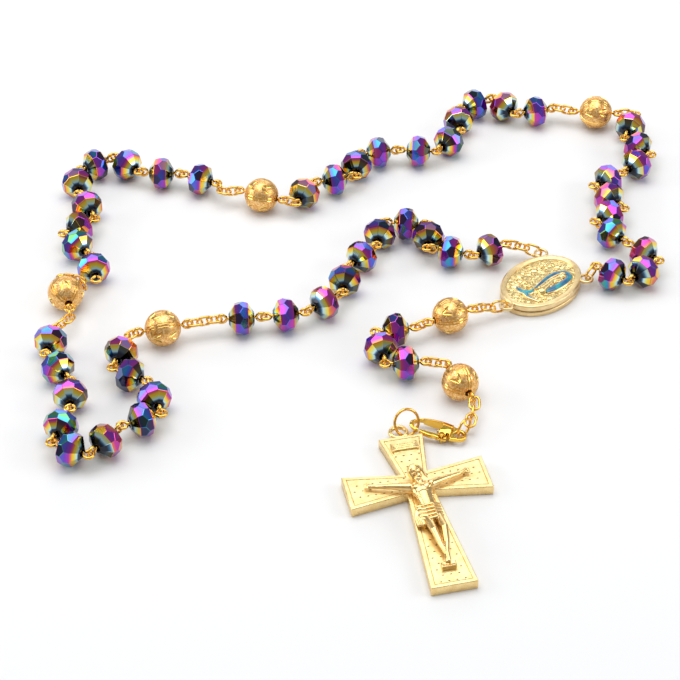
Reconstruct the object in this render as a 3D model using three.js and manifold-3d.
// A five-decade rosary, laid out on a table: a medal with two strands of beads and a pendant that ends in a crucifix.
// Millimetres, +Z up. The origin is the middle of the medal's flat back, on the table.
import * as THREE from "three";
import { mergeVertices } from "three/addons/utils/BufferGeometryUtils.js";
import Module from "manifold-3d";

const wasm = await Module();
wasm.setup();

// Clearances
const hookGap = 0.3; // between pieces that touch on the real rosary
const neckGap = 0.15; // from a bead's face to the outside of its eye

// Beads
const aveDiameter = 8;
const aveLength = 6;
const aveFlat = 3.2; // diameter of the flat face round the bore
const paterDiameter = 8.4;
const paterFlat = 2.4;
const boreGap = 0.35; // round the pin where it is nearest to the bore

// Eye-pins and chain links: diameters are of the wire, and across the middle of the wire
const pinWire = 0.7;
const eyeDiameter = 2.2;
const linkWire = 0.6;
const linkWidth = 2.2;
const linkStraight = 1.2;
const earLinkWidth = 3; // the larger link that goes round a medal ear

// Medal: two oval plates, the front one with three ears
const medalLength = 22.4;
const medalWidth = 16.4;
const medalBackThickness = 1.2;
const medalFrontThickness = 1.6;
const medalTurn = -44; // degrees from +Y to the top of the medal
const medalRim = 1;
const medalRecess = 0.5;
const earOuter = 3.6;
const earHole = 2.2;
const earThickness = 0.8; // the ears are level with the top of the medal
const earSpread = 40; // degrees from the medal's long axis to each upper ear

// Clasp and its two rings
const tailRingDiameter = 4.3;
const tailRingHeading = -130;
const ringWire = 0.7;
const claspLength = 11.4; // from the middle of the tail eye to the tip of the hook
const claspWidth = 5;
const claspThickness = 2.6;
const claspWall = 1;
const claspEyeHole = 2.2;
const claspEyeWall = 0.6;
const claspEyeThickness = 0.9;
const claspNose = 1.2; // thickness of the hook's tip, which the crucifix ring passes under
const cheekWall = 0.45;
const leverWidth = 1;
const rivetDiameter = 0.8;
const springWire = 0.25;
const claspHeading = 160;
const crucifixRingDiameter = 5.9;
const crucifixRingLean = 60; // degrees up from the table
const crucifixRingHeading = 210;

// Crucifix
const crossTop = 14.7;
const crossFoot = 30.6;
const crossArm = 15.6;
const crossEnd = 10; // width at each end
const crossWaist = 6; // width at the crossing
const crossThickness = 2.4;
const bailOuter = 4.6;
const bailHole = 2.6;
const bailThickness = 1.2;
const crossTurn = 13;
const figureHeight = 28;
const figureSpan = 22;

// The strands as they lie. Each row is one piece of the strand: its name, what its units are, and the
// way each unit points, in degrees from +X, counterclockwise seen from above, going away from the medal.
const rightStrand = [
  ["medal_link_right", "ear_link", [50]],
  ["decade_5_a", "ave", [-40, 45, 135]],
  ["decade_5_b", "ave", [130, 35, 125, 35]],
  ["decade_5_c", "ave", [45, 130, 70]],
  ["chain_5", "link", [160, 180]],
  ["pater_4", "pater", [175]],
  ["chain_4", "link", [160, 155]],
  ["decade_4_a", "ave", [195, 125, 210]],
  ["decade_4_b", "ave", [275, 235, 175, 190]],
  ["decade_4_c", "ave", [270, 195, 245]],
  ["chain_3_long", "link", [160]],
  ["pater_3", "pater", [160]],
  ["chain_3", "link", [190, 155, 115]],
  ["decade_3_a", "ave", [155, 175, 135]],
  ["decade_3_b", "ave", [215, 280, 295]],
  ["decade_3_c", "ave", [220, 310, 283]],
];
const leftStrand = [
  ["medal_link_left", "ear_link", [160]],
  ["chain_medal_left", "link", [170, 175]],
  ["decade_1_a", "ave", [210, 165]],
  ["decade_1_b", "ave", [85, 175, 260, 230]],
  ["decade_1_c", "ave", [265, 220, 190, 185]],
  ["chain_1", "link", [190, 195, 195]],
  ["pater_1", "pater", [195]],
  ["chain_2", "link", [230]],
  ["decade_2_a", "ave", [255, 330, 290]],
  ["decade_2_b", "ave", [205, 235, 155, 75]],
  ["decade_2_c", "ave", [95, 125, 80]],
  ["chain_2_long", "link", [50, 60, 95]],
  ["pater_2", "pater", [105]],
  ["chain_end", "link", [-5, -30, -60]],
];
const pendantStrand = [
  ["medal_link_pendant", "ear_link", [200]],
  ["chain_medal_pendant", "link", [195, 200]],
  ["pendant_pater_1", "pater", [205]],
  ["chain_pendant_1", "link", [210]],
  ["pendant_ave_1", "ave_pin", [190]],
  ["pendant_ave_2", "ave_pin", [280]],
  ["pendant_ave_3", "ave_pin", [5]],
  ["chain_pendant_2", "link", [-10, -10]],
  ["pendant_pater_2", "pater", [-65]],
  ["chain_pendant_3", "link", [-90, -105, -105]],
];

const gold = new THREE.MeshStandardMaterial({ color: 0xc98f2e, metalness: 1, roughness: 0.2 });
const paleGold = new THREE.MeshStandardMaterial({ color: 0xe6cb88, metalness: 1, roughness: 0.3 });
const stardust = new THREE.MeshStandardMaterial({ color: 0xd8973a, metalness: 1, roughness: 0.5 });
const irisGlass = new THREE.MeshStandardMaterial({ color: 0x553a8c, metalness: 0.9, roughness: 0.08 });

const radians = THREE.MathUtils.degToRad;
const pinAxisHeight = Math.max(paterDiameter, aveDiameter) / 2;
// The smaller beads lie on the table too, so their bores take the difference in height.
const boreDiameter = pinWire + Math.abs(paterDiameter - aveDiameter) + 2 * boreGap;
const earRadius = earOuter / 2;
const medalThickness = medalBackThickness + hookGap + medalFrontThickness;
const earHeight = medalThickness - earThickness / 2;
const tailRingHeight = (tailRingDiameter + ringWire) / 2 + neckGap;
const claspHeight = claspThickness / 2 + neckGap; // of the middle of the clasp's tail eye
// The middle of the hook's tip and of the crucifix's bail, above the ring that lies under them
const hookHeight = neckGap + ringWire + hookGap + claspNose / 2;

// ---- solids ----

// A closed geometry as a solid that can be joined and cut.
function solid(geometry) {
  const bare = geometry.clone();
  bare.deleteAttribute("normal");
  bare.deleteAttribute("uv");
  const merged = mergeVertices(bare, 1e-4);
  const vertProperties = merged.attributes.position.array;
  const triVerts = new Uint32Array(merged.index.array);
  return new wasm.Manifold(new wasm.Mesh({ numProp: 3, vertProperties, triVerts }));
}

function join(solids) {
  return solids.reduce((whole, one) => whole.add(one));
}

// A named mesh of a solid.
function piece(name, whole, material) {
  const { vertProperties, triVerts } = whole.getMesh();
  const geometry = new THREE.BufferGeometry();
  geometry.setAttribute("position", new THREE.BufferAttribute(vertProperties, 3));
  geometry.setIndex(new THREE.BufferAttribute(triVerts, 1));
  geometry.computeVertexNormals();
  const mesh = new THREE.Mesh(geometry, material);
  mesh.name = name;
  return mesh;
}

// A rod along X from one place to another.
function rod(from, to, diameter, sides = 4) {
  const geometry = new THREE.CylinderGeometry(diameter / 2, diameter / 2, to - from, sides);
  geometry.rotateZ(-Math.PI / 2);
  geometry.translate((from + to) / 2, 0, 0);
  return geometry;
}

// A wire ring round Z, drawn out along X by the length of its straight sides.
function wireRing(diameter, wire, straight, segments = 8, sides = 4) {
  const geometry = new THREE.TorusGeometry(diameter / 2, wire / 2, sides, segments);
  const place = geometry.attributes.position;
  for (let i = 0; i < place.count; i++) {
    const x = place.getX(i);
    const stretch = Math.abs(x) > wire / 2 ? (Math.sign(x) * straight) / 2 : 0;
    place.setX(i, x + stretch);
  }
  return geometry;
}

// A flat plate from the table plane upwards.
function plate(outline, thickness) {
  return new THREE.ExtrudeGeometry(new THREE.Shape(outline), { depth: thickness, bevelEnabled: false });
}

function disc(diameter, thickness, sides = 12) {
  const geometry = new THREE.CylinderGeometry(diameter / 2, diameter / 2, thickness, sides);
  geometry.rotateX(Math.PI / 2);
  return geometry;
}

// ---- units of a strand, each made along X with its middle at the origin ----

// A solid of revolution about X with a corner straight down.
function turned(profile, columns) {
  const geometry = new THREE.LatheGeometry(profile.map(([r, x]) => new THREE.Vector2(r, x)), columns);
  geometry.rotateZ(-Math.PI / 2);
  geometry.rotateX(Math.PI / 2);
  return geometry;
}

// Half of a bead's outline, as radius and place along the axis, from the widest place to the face.
function aveOutline() {
  return [
    [aveDiameter / 2, 0],
    [aveDiameter * 0.44, aveLength * 0.27],
    [aveFlat / 2, aveLength / 2],
  ];
}

function paterOutline() {
  const face = Math.asin(paterFlat / paterDiameter);
  return [0, 1, 2, 3].map((i) => {
    const angle = (i / 3) * (Math.PI / 2 - face);
    return [(paterDiameter / 2) * Math.cos(angle), (paterDiameter / 2) * Math.sin(angle)];
  });
}

// A whole bead from half its outline, without its bore.
function bead(half, columns) {
  const face = half[half.length - 1][1];
  const mirrored = half.slice(1).map(([r, x]) => [r, -x]);
  return turned([[0, -face], ...mirrored.reverse(), ...half, [0, face]], columns);
}

// From the middle of a bead to the middle of its eye: the eye clears the bead's face, and two beads whose
// pins are square to each other clear each other.
function beadReach(diameter, length) {
  const pastFace = length / 2 + neckGap + (pinWire + eyeDiameter) / 2;
  const roundCorner = Math.hypot(diameter, length) / 2 + neckGap - eyeDiameter / 4;
  return Math.max(pastFace, roundCorner);
}

const kinds = {
  link: { reach: linkStraight / 2, ring: linkWidth },
  ear_link: { reach: linkStraight / 2, ring: earLinkWidth },
  ave: { reach: beadReach(aveDiameter, aveLength), ring: eyeDiameter },
  ave_pin: { reach: beadReach(aveDiameter, aveLength), ring: eyeDiameter },
  pater: { reach: paterDiameter / 2 + neckGap + (pinWire + eyeDiameter) / 2, ring: eyeDiameter },
};

// An eye-pin: a wire with an eye at each end. Where the next unit is part of the same piece, the wire runs
// on to the middle of a flat eye and holds the standing wire there.
function eyePin(reach, upright, held = {}) {
  const eye = (x) => {
    const ring = wireRing(eyeDiameter, pinWire, 0, 6);
    if (upright) ring.rotateX(Math.PI / 2);
    return solid(ring.translate(x, 0, 0));
  };
  const end = reach - eyeDiameter / 2;
  const shaft = rod(held.before ? -reach : -end, held.after ? reach : end, pinWire);
  return join([solid(shaft), eye(-reach), eye(reach)]);
}

function linkSolid(width, upright, held) {
  const ring = wireRing(width, linkWire, linkStraight);
  if (upright) ring.rotateX(Math.PI / 2);
  const parts = [solid(ring)];
  const end = (linkStraight + width) / 2;
  if (held.before) parts.push(solid(rod(-end, -linkStraight / 2, linkWire)));
  if (held.after) parts.push(solid(rod(linkStraight / 2, end, linkWire)));
  return join(parts);
}

// ---- laying out ----

// The units of a strand with their places. A flat unit's eyes lie down and an upright one's stand, turn about,
// and the wire of the standing eye passes through the middle of the flat one.
function layStrand(strand, start) {
  const units = [];
  const at = new THREE.Vector3(start.x, start.y, earHeight);
  let upright = true;
  for (const [name, kind, headings] of strand) {
    const { reach, ring } = kinds[kind];
    const slope = slopeOf(name);
    headings.forEach((heading) => {
      const half = upright ? reach + ring / 2 : reach;
      const along = way(heading).multiplyScalar(Math.cos(slope)).setZ(Math.sin(slope));
      const middle = at.clone().addScaledVector(along, half);
      at.addScaledVector(along, 2 * half);
      units.push({ name, kind, heading, slope, upright, middle, after: at.clone() });
      upright = !upright;
    });
  }
  return units;
}

// The slope of a chain that climbs or falls: the angle that takes its whole length over the given rise.
function slopeOf(name) {
  const climb = climbs()[name];
  return climb ? Math.asin(climb.rise / climb.length) : 0;
}

// The length of a chain of links that starts with an upright or a flat link.
function chainLength(count, startsUpright) {
  const uprights = startsUpright ? Math.ceil(count / 2) : Math.floor(count / 2);
  return count * linkStraight + uprights * linkWidth;
}

function placed(made, unit, lower = 0) {
  const turn = new THREE.Matrix4()
    .makeRotationZ(radians(unit.heading))
    .multiply(new THREE.Matrix4().makeRotationY(-unit.slope));
  turn.setPosition(unit.middle.x, unit.middle.y, unit.middle.z - lower);
  return made.transform(turn.elements);
}

// ---- pieces of a strand ----

// Which ends of a flat unit hold a neighbour of the same piece.
function heldEnds(units, i) {
  if (units[i].upright) return {};
  return { before: i > 0, after: i < units.length - 1 };
}

function chainPiece(name, units) {
  const links = units.map((unit, i) => {
    const width = kinds[unit.kind].ring;
    return placed(linkSolid(width, unit.upright, heldEnds(units, i)), unit);
  });
  return [piece(name, join(links), gold)];
}

// Three or four small beads with their eye-pins, made as one solid.
function beadRun(name, units) {
  const beads = units.map((unit, i) => {
    const lower = unit.middle.z - aveDiameter / 2;
    const glass = placed(solid(bead(aveOutline(), 8)), unit, lower);
    return glass.add(placed(eyePin(kinds.ave.reach, unit.upright, heldEnds(units, i)), unit));
  });
  return [piece(name, join(beads), irisGlass)];
}

// A bead that turns on its own eye-pin: two pieces.
function beadOnPin(name, [unit]) {
  const pater = unit.kind === "pater";
  const outline = pater ? paterOutline() : aveOutline();
  const diameter = pater ? paterDiameter : aveDiameter;
  const lower = unit.middle.z - diameter / 2;
  const bore = solid(rod(-diameter, diameter, boreDiameter, 8));
  const ball = placed(solid(bead(outline, pater ? 16 : 10)).subtract(bore), unit, lower);
  const pin = placed(eyePin(kinds[unit.kind].reach, unit.upright), unit);
  return [piece(name + "_bead", ball, pater ? stardust : irisGlass), piece(name + "_pin", pin, gold)];
}

const makers = { link: chainPiece, ear_link: chainPiece, ave: beadRun, ave_pin: beadOnPin, pater: beadOnPin };

function strandPieces(strand, units) {
  return strand.flatMap(([name, kind]) => makers[kind](name, units.filter((unit) => unit.name === name)));
}

// ---- medal ----

function oval(length, width, count = 32) {
  const points = [];
  for (let i = 0; i < count; i++) {
    const angle = (i / count) * 2 * Math.PI;
    points.push(new THREE.Vector2((width / 2) * Math.cos(angle), (length / 2) * Math.sin(angle)));
  }
  return points;
}

// Middle of an ear, in the medal's own frame, at an angle from its long axis.
function earPlace(angle) {
  const a = medalLength / 2;
  const b = medalWidth / 2;
  const edge = (a * b) / Math.hypot(b * Math.cos(angle), a * Math.sin(angle));
  const out = edge + earRadius - earHole / 4;
  return new THREE.Vector2(out * Math.sin(angle), out * Math.cos(angle));
}

const earAngles = {
  right: radians(earSpread),
  left: radians(-earSpread),
  pendant: Math.PI,
};

function earStart(which) {
  return earPlace(earAngles[which]).rotateAround(new THREE.Vector2(0, 0), radians(medalTurn));
}

function medalPieces() {
  const back = plate(oval(medalLength, medalWidth), medalBackThickness);
  let front = solid(plate(oval(medalLength, medalWidth), medalFrontThickness));
  for (const angle of Object.values(earAngles)) {
    const { x, y } = earPlace(angle);
    const ear = disc(earOuter, earThickness, 16);
    front = front.add(solid(ear.translate(x, y, medalFrontThickness - earThickness / 2)));
  }
  for (const angle of Object.values(earAngles)) {
    const { x, y } = earPlace(angle);
    const hole = disc(earHole, 2 * medalFrontThickness, 12);
    front = front.subtract(solid(hole.translate(x, y, medalFrontThickness / 2)));
  }
  const well = plate(oval(medalLength - 2 * medalRim, medalWidth - 2 * medalRim), medalRecess + 1);
  well.translate(0, 0, medalFrontThickness - medalRecess);
  front = front.subtract(solid(well));
  const group = new THREE.Group();
  group.rotation.z = radians(medalTurn);
  const frontMesh = piece("medal_front", front, paleGold);
  frontMesh.position.z = medalBackThickness + hookGap;
  group.add(piece("medal_back", solid(back), paleGold), frontMesh);
  return group;
}

// ---- clasp, made along X from its tail eye, lying flat with its middle at height zero ----

function claspOutline() {
  const half = claspWidth / 2;
  const eye = claspEyeHole / 2 + claspEyeWall;
  const shape = new THREE.Shape();
  shape.moveTo(0, -eye);
  shape.absarc(0, 0, eye, -Math.PI / 2, Math.PI / 2, true);
  shape.quadraticCurveTo(claspLength * 0.35, half, claspLength - half, half);
  shape.absarc(claspLength - half, 0, half, Math.PI / 2, -Math.PI / 2, true);
  shape.quadraticCurveTo(claspLength * 0.35, -half, 0, -eye);
  return shape.getPoints(6);
}

// The hollow of the hook, square at the tail and round at the nose.
function claspHollow() {
  const half = claspWidth / 2 - claspWall;
  const to = claspLength - claspWall - half;
  const shape = new THREE.Shape();
  shape.moveTo(claspLength * 0.36, -half);
  shape.lineTo(to, -half);
  shape.absarc(to, 0, half, -Math.PI / 2, Math.PI / 2, false);
  shape.lineTo(claspLength * 0.36, half);
  return through(plate(shape.getPoints(5), 2 * claspThickness));
}

// A cutter centred on height zero.
function through(geometry) {
  return solid(geometry.translate(0, 0, -claspThickness));
}

function box(from, to, thickness, height = 0) {
  const geometry = new THREE.BoxGeometry(to.x - from.x, to.y - from.y, thickness);
  return solid(geometry.translate((from.x + to.x) / 2, (from.y + to.y) / 2, height));
}

// The lever closes the side of the hollow from its rivet to the hook's nose.
const lever = {
  rivet: claspLength * 0.3,
  nose: claspLength - claspWidth / 2 - hookGap,
  inside: claspWidth / 2 - leverWidth,
  outside: claspWidth / 2,
  thickness: claspThickness - 2 * cheekWall - 2 * hookGap,
  bore: rivetDiameter + 2 * hookGap,
};
lever.middle = (lever.inside + lever.outside) / 2;
lever.eye = lever.bore + 2 * claspEyeWall;

function rivetDisc(diameter, thickness) {
  return solid(disc(diameter, thickness, 10).translate(lever.rivet, lever.middle, 0));
}

function claspBody() {
  const tall = 2 * claspThickness;
  let body = solid(plate(claspOutline(), claspThickness).translate(0, 0, -claspThickness / 2));
  body = body.subtract(claspHollow()).subtract(solid(disc(claspEyeHole, tall, 12)));
  // the tail eye and the hook's tip are thinner than the middle
  const eyeEnd = { x: claspEyeHole / 2 + claspEyeWall, y: claspWidth };
  const tipStart = { x: lever.nose, y: -claspWidth };
  for (const side of [-1, 1]) {
    const eyeCut = (side * (claspThickness + claspEyeThickness)) / 2;
    const tipCut = (side * (claspThickness + claspNose)) / 2;
    body = body.subtract(box({ x: -claspWidth, y: -claspWidth }, eyeEnd, claspThickness, eyeCut));
    body = body.subtract(box(tipStart, { x: 2 * claspLength, y: claspWidth }, claspThickness, tipCut));
  }
  // the slot that the lever lies in, open to the hollow, with two cheeks that hold the rivet
  const from = { x: lever.rivet - lever.bore / 2 - claspEyeWall - hookGap, y: lever.inside - hookGap };
  const to = { x: lever.nose + hookGap, y: claspWidth };
  body = body.subtract(box(from, to, tall));
  for (const side of [-1, 1]) {
    const height = (side * (claspThickness - cheekWall)) / 2;
    const low = { x: lever.rivet - rivetDiameter, y: 0 };
    const high = { x: lever.rivet + rivetDiameter, y: lever.outside };
    body = body.add(box(low, high, cheekWall, height));
  }
  const eyePocket = rivetDisc(lever.eye + 2 * hookGap, lever.thickness + 2 * hookGap);
  return body.subtract(rivetDisc(lever.bore, tall)).subtract(eyePocket).subtract(springPocket());
}

const spring = {
  from: { x: lever.rivet + rivetDiameter * 0.3, y: lever.inside - 2.6 * hookGap - springWire },
  to: { x: lever.rivet + rivetDiameter * 1.9, y: lever.inside - 2.6 * hookGap },
};

function springPocket() {
  const from = { x: spring.from.x - hookGap, y: spring.from.y - hookGap };
  const to = { x: spring.to.x + hookGap, y: lever.inside };
  return box(from, to, lever.thickness + 2 * hookGap);
}

function leverBar() {
  const from = { x: lever.rivet - lever.bore / 2, y: lever.inside };
  const bar = box(from, { x: lever.nose, y: lever.outside }, lever.thickness);
  const thumb = disc(leverWidth * 1.6, lever.thickness, 10);
  thumb.translate(claspLength * 0.55, lever.middle + leverWidth * 0.4, 0);
  const eye = rivetDisc(lever.eye, lever.thickness);
  return join([bar, solid(thumb), eye]).subtract(rivetDisc(lever.bore, 2 * claspThickness));
}

function claspPieces() {
  const group = new THREE.Group();
  group.add(piece("clasp_body", claspBody(), gold));
  group.add(piece("clasp_lever", leverBar(), gold));
  group.add(piece("clasp_rivet", rivetDisc(rivetDiameter, claspThickness), gold));
  group.add(piece("clasp_spring", box(spring.from, spring.to, lever.thickness), gold));
  return group;
}

// ---- crucifix, made upright with its crossing at the origin and its back on the table ----

function crossOutline() {
  const waist = crossWaist / 2;
  const end = crossEnd / 2;
  return [
    [waist, waist], [end, crossTop], [-end, crossTop], [-waist, waist],
    [-crossArm, end], [-crossArm, -end], [-waist, -waist],
    [-end, -crossFoot], [end, -crossFoot], [waist, -waist],
    [crossArm, -end], [crossArm, end],
  ].map(([x, y]) => new THREE.Vector2(x, y));
}

const bailPlace = crossTop + bailOuter / 2 - bailThickness * 0.4;

function crossSolid() {
  const bail = disc(bailOuter, bailThickness, 16).translate(0, bailPlace, hookHeight);
  const hole = disc(bailHole, 3 * bailThickness, 12).translate(0, bailPlace, hookHeight);
  return solid(plate(crossOutline(), crossThickness)).add(solid(bail)).subtract(solid(hole));
}

// A rounded limb from one place to another, thinner at its far end.
function limb(from, to, near, far) {
  const long = from.distanceTo(to);
  const geometry = new THREE.CylinderGeometry(far / 2, near / 2, long, 6);
  const along = to.clone().sub(from).normalize();
  const turn = new THREE.Quaternion().setFromUnitVectors(new THREE.Vector3(0, 1, 0), along);
  geometry.applyQuaternion(turn);
  const middle = from.clone().add(to).multiplyScalar(0.5);
  return solid(geometry.translate(middle.x, middle.y, middle.z));
}

// A plain figure with raised arms: head, body, arms, cloth, legs and foot block in one casting.
function figureSolid() {
  const base = crossThickness + hookGap;
  const tall = figureHeight;
  const place = (x, y, z) => new THREE.Vector3(x * tall, y * tall, base + z * tall);
  const neck = place(0, -0.03, 0.075);
  const hips = place(0, -0.36, 0.075);
  const feet = place(0, -0.88, 0.05);
  const head = new THREE.SphereGeometry(tall * 0.07, 8, 6);
  head.translate(-0.01 * tall, 0.035 * tall, base + 0.085 * tall);
  const parts = [limb(neck, hips, tall * 0.15, tall * 0.13), limb(hips, feet, tall * 0.13, tall * 0.07)];
  for (const side of [-1, 1]) {
    const hand = new THREE.Vector3((side * figureSpan) / 2, 0, base + 0.03 * tall);
    parts.push(limb(neck, hand, tall * 0.08, tall * 0.05));
  }
  const cloth = new THREE.BoxGeometry(tall * 0.17, tall * 0.16, tall * 0.1);
  cloth.translate(0, -0.4 * tall, base + 0.06 * tall);
  const block = new THREE.BoxGeometry(tall * 0.14, tall * 0.06, tall * 0.04);
  block.translate(0, -0.9 * tall, base + 0.02 * tall);
  return join([...parts, solid(head), solid(cloth), solid(block)]);
}

function plaqueSolid() {
  const geometry = new THREE.BoxGeometry(crossWaist, crossWaist * 0.36, hookGap * 2);
  return solid(geometry.translate(0, crossTop * 0.76, crossThickness + 2 * hookGap));
}

// ---- the whole, laid out from the medal's ears ----

// A direction in the table plane.
function way(degrees) {
  return new THREE.Vector3(Math.cos(radians(degrees)), Math.sin(radians(degrees)), 0);
}

function jumpRing(name, diameter) {
  const geometry = wireRing(diameter, ringWire, 0, 16, 6);
  return piece(name, solid(geometry), gold);
}

// The tail ring stands on the table, past the pendant's last link.
function tailRing(end) {
  const radius = tailRingDiameter / 2;
  const mesh = jumpRing("tail_ring", tailRingDiameter);
  mesh.rotation.set(Math.PI / 2, 0, radians(tailRingHeading), "ZYX");
  mesh.position.copy(end).addScaledVector(way(tailRingHeading), radius);
  const reach = radius + Math.sqrt(radius ** 2 - (tailRingHeight - claspHeight) ** 2);
  const eye = end.clone().addScaledVector(way(tailRingHeading), reach);
  return { mesh, eye: eye.setZ(claspHeight) };
}

// The crucifix ring leans back with its lower edge on the table. It crosses the height of the hook and the
// bail at the two ends of a chord.
function crucifixRing(hook) {
  const lean = radians(crucifixRingLean);
  const radius = crucifixRingDiameter / 2;
  const height = ringWire / 2 + radius * Math.sin(lean) + neckGap;
  const drop = height - hookHeight;
  const half = Math.sqrt(radius ** 2 - (drop / Math.sin(lean)) ** 2);
  const mesh = jumpRing("crucifix_ring", crucifixRingDiameter);
  mesh.rotation.set(-lean, 0, radians(crucifixRingHeading), "ZYX");
  mesh.position.copy(hook).addScaledVector(way(crucifixRingHeading), half);
  mesh.position.addScaledVector(way(crucifixRingHeading + 90), -drop / Math.tan(lean));
  mesh.position.z = height;
  const bail = hook.clone().addScaledVector(way(crucifixRingHeading), 2 * half);
  return { mesh, bail };
}

function crucifix(bail) {
  const group = new THREE.Group();
  group.add(piece("cross", crossSolid(), paleGold), piece("figure", figureSolid(), paleGold));
  group.add(piece("title_plaque", plaqueSolid(), paleGold));
  group.rotation.z = radians(crossTurn);
  const down = way(crossTurn + 90).multiplyScalar(-bailPlace);
  group.position.set(bail.x + down.x, bail.y + down.y, 0);
  return group;
}

// How far each sloping piece's chain climbs, and over what length.
function climbs() {
  const earLink = linkStraight + earLinkWidth;
  const short = { rise: pinAxisHeight - earHeight, length: earLink };
  const long = { rise: pinAxisHeight - earHeight, length: earLink + chainLength(2, false) };
  return {
    medal_link_right: short,
    medal_link_left: long,
    chain_medal_left: long,
    medal_link_pendant: long,
    chain_medal_pendant: long,
    chain_pendant_3: { rise: tailRingHeight - pinAxisHeight, length: chainLength(3, false) },
  };
}

const root = new THREE.Group();
root.add(medalPieces());
const right = layStrand(rightStrand, earStart("right"));
const left = layStrand(leftStrand, earStart("left"));
const pendant = layStrand(pendantStrand, earStart("pendant"));
root.add(...strandPieces(rightStrand, right));
root.add(...strandPieces(leftStrand, left));
root.add(...strandPieces(pendantStrand, pendant));

const tail = tailRing(pendant[pendant.length - 1].after);
const clasp = claspPieces();
const hookReach = claspLength - claspWall - ringWire / 2 - 2 * hookGap;
clasp.position.copy(tail.eye);
clasp.rotation.set(0, -Math.asin((hookHeight - claspHeight) / hookReach), radians(claspHeading), "ZYX");
const hook = tail.eye.clone().addScaledVector(way(claspHeading), hookReach).setZ(hookHeight);
const ring = crucifixRing(hook);
root.add(tail.mesh, clasp, ring.mesh, crucifix(ring.bail));

export default root;
